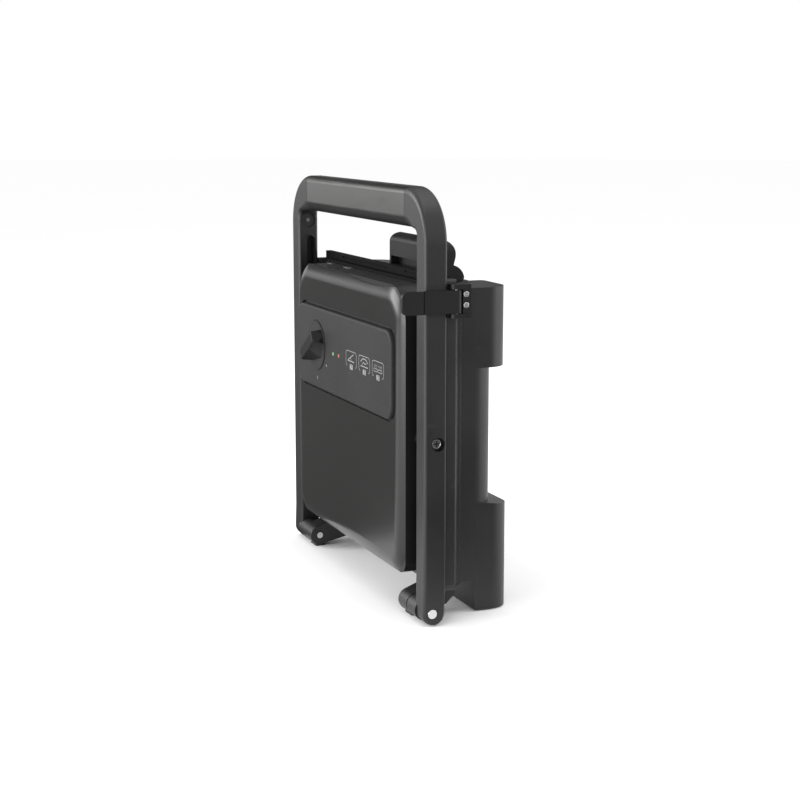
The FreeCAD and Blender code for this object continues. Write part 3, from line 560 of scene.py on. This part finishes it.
def build_vents():
    """Two rows of vent slots with raised lips near the top of the tub's rear wall; each slot is a flat dark
    sheet painted as the shade inside the opening.
    """
    rows, columns = 2, 11
    pitch_x, pitch_z = 10.0, 26.0
    first_z, length, half_width = 19.0, 20.0, 1.6
    lip_gap, lip_width = 0.4, 0.8
    slot_shades = bmesh.new()
    lips = bmesh.new()
    for row in range(rows):
        for column in range(columns):
            x = (column - (columns - 1) / 2) * pitch_x
            low = first_z + row * pitch_z
            slot = rounded(x - half_width, x + half_width, low, low + length, 1.5, 4)
            slab(slot_shades, slot, on_rear(0.01, 0.05))
            lip = rounded(x - half_width - lip_gap, x + half_width + lip_gap,
                          low - lip_gap, low + length + lip_gap, 1.9, 4)
            ribbon(lips, lip, lip_width, True, on_rear(0.01, 0.5))
    # Painted shade: the slots are thin dark sheets lying on the wall, not openings.
    piece("vent_slot_shades", slot_shades, "rubber", "base")
    piece("vent_lips", lips, "base_plastic", "base")


def build_dial_ring():
    """A fine ring printed near the dial's edge."""
    radius, thick = 22.2, 0.06
    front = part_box("knob_dial")[0].y / MM

    def on_dial(x, z, level):
        return Vector((DIAL.x + x, front - level * thick, DIAL.z + z)) * MM

    # The last point lies just short of the first one, so that the ring looks closed.
    points = arc(0.0, 0.0, radius, 0, 350, 35)[:-1] + [(radius, -0.01)]
    ring = bmesh.new()
    ribbon(ring, points, 0.5, False, on_dial)
    piece("dial_ring", ring, "black_plastic", "knob")


build_screw_recess_shades()
build_pivot_rings()
build_pad_rings()
build_rating_plate()
build_vents()
build_dial_ring()


# ---- camera, light, floor ---------------------------------------------------------------------------
def aim(thing, direction):
    """Turns a camera or a lamp so that it looks along a direction."""
    thing.rotation_mode = "QUATERNION"
    thing.rotation_quaternion = direction.to_track_quat("-Z", "Y")


CAMERA_PLACE = (1.42604, -0.56569, 0.43405)
CAMERA_TURN = math.radians(68.0)     # from the lid side towards the clasp side
CAMERA_DOWN = math.radians(9.87)
CAMERA_LENS, CAMERA_SENSOR = 74.7, 36.0
STUDIO_MIDDLE = (0.0, 0.0, 0.2)      # where the lamps point
FLOOR_DROP, FLOOR_RADIUS = 0.0002, 14.0
FLAG_LIFT = 0.0004
LAMPS = (("key", (-1.3, -1.7, 0.9), (1.4, 1.2), 30.0),
         ("front", (0.5, -1.8, 0.35), (1.5, 1.0), 25.0),
         ("top", (0.2, 0.1, 2.0), (1.6, 1.2), 8.0),
         ("rim", (0.9, 2.0, 0.7), (1.0, 1.2), 14.0))


def set_camera():
    data = bpy.data.cameras.new("camera")
    data.sensor_width = CAMERA_SENSOR
    data.lens = CAMERA_LENS
    data.clip_start, data.clip_end = 0.05, 60.0
    camera = bpy.data.objects.new("camera", data)
    bpy.context.scene.collection.objects.link(camera)
    camera.location = CAMERA_PLACE
    level = math.cos(CAMERA_DOWN)
    ahead = (-math.sin(CAMERA_TURN) * level, math.cos(CAMERA_TURN) * level, -math.sin(CAMERA_DOWN))
    aim(camera, Vector(ahead))
    bpy.context.scene.camera = camera


def set_floor():
    """A plain pale disc, a little below the feet so that the two faces don't share a plane."""
    bm = bmesh.new()
    bmesh.ops.create_circle(bm, cap_ends=True, segments=96, radius=FLOOR_RADIUS)
    data = bpy.data.meshes.new("floor")
    bm.to_mesh(data)
    bm.free()
    floor = bpy.data.objects.new("floor", data)
    floor.location.z = -FLOOR_DROP
    bpy.context.scene.collection.objects.link(floor)
    g = Graph("look_floor", Specular_IOR_Level=0.0)
    mottle = g.noise(3.0, 3.0)
    data.materials.append(g.done(g.blend(mottle, (0.975, 0.975, 0.975), (0.99, 0.99, 0.99)), 0.85))


def flag(name, outline, grey):
    """A dark sheet that only reflections see; it keeps flat dark faces dark."""
    bm = bmesh.new()
    bm.faces.new([bm.verts.new(point) for point in outline])
    data = bpy.data.meshes.new(name)
    bm.to_mesh(data)
    bm.free()
    sheet = bpy.data.objects.new(name, data)
    bpy.context.scene.collection.objects.link(sheet)
    sheet.visible_camera = False
    sheet.visible_diffuse = False
    sheet.visible_shadow = False
    sheet.visible_transmission = False
    g = Graph("look_" + name, Specular_IOR_Level=0.0)
    mottle = g.noise(3.0, 3.0)
    data.materials.append(g.done(g.blend(mottle, (grey * 0.9,) * 3, (grey * 1.1,) * 3), 0.9))


def sector(start, end, near, far):
    """Part of a ring just over the floor; the angles, in degrees, run from -Y towards +X."""
    steps = 8
    angles = [math.radians(start + (end - start) * i / steps) for i in range(steps + 1)]
    return [(radius * math.sin(a), -radius * math.cos(a), FLAG_LIFT)
            for radius, turn in ((near, angles), (far, angles[::-1])) for a in turn]


def set_flags():
    flag("floor_flag_left", sector(-112, -40, 0.16, 6.0), 0.13)
    flag("floor_flag_right", sector(84, 130, 0.25, 6.0), 0.10)
    left, front, rear, low, high = -1.7, -0.7, 1.6, 0.5, 1.9
    corners = ((front, low), (rear, low), (rear, high), (front, high))
    flag("left_flag", [(left, y, z) for y, z in corners], 0.06)


def softbox(name, place, size, power):
    """A rectangular lamp; size in metres, power in watts."""
    data = bpy.data.lights.new(name, "AREA")
    data.shape = "RECTANGLE"
    data.size, data.size_y = size
    data.energy = power
    lamp = bpy.data.objects.new(name, data)
    bpy.context.scene.collection.objects.link(lamp)
    lamp.location = place
    aim(lamp, Vector(STUDIO_MIDDLE) - Vector(place))


def set_lights():
    world = bpy.data.worlds.new("studio")
    world.use_nodes = True
    back = world.node_tree.nodes["Background"]
    back.inputs["Color"].default_value = (1.0, 1.0, 1.0, 1.0)
    back.inputs["Strength"].default_value = 1.0
    bpy.context.scene.world = world
    for name, place, size, power in LAMPS:
        softbox(name, place, size, power)


set_camera()
set_floor()
set_flags()
set_lights()
bpy.context.scene.view_settings.view_transform = "Standard"
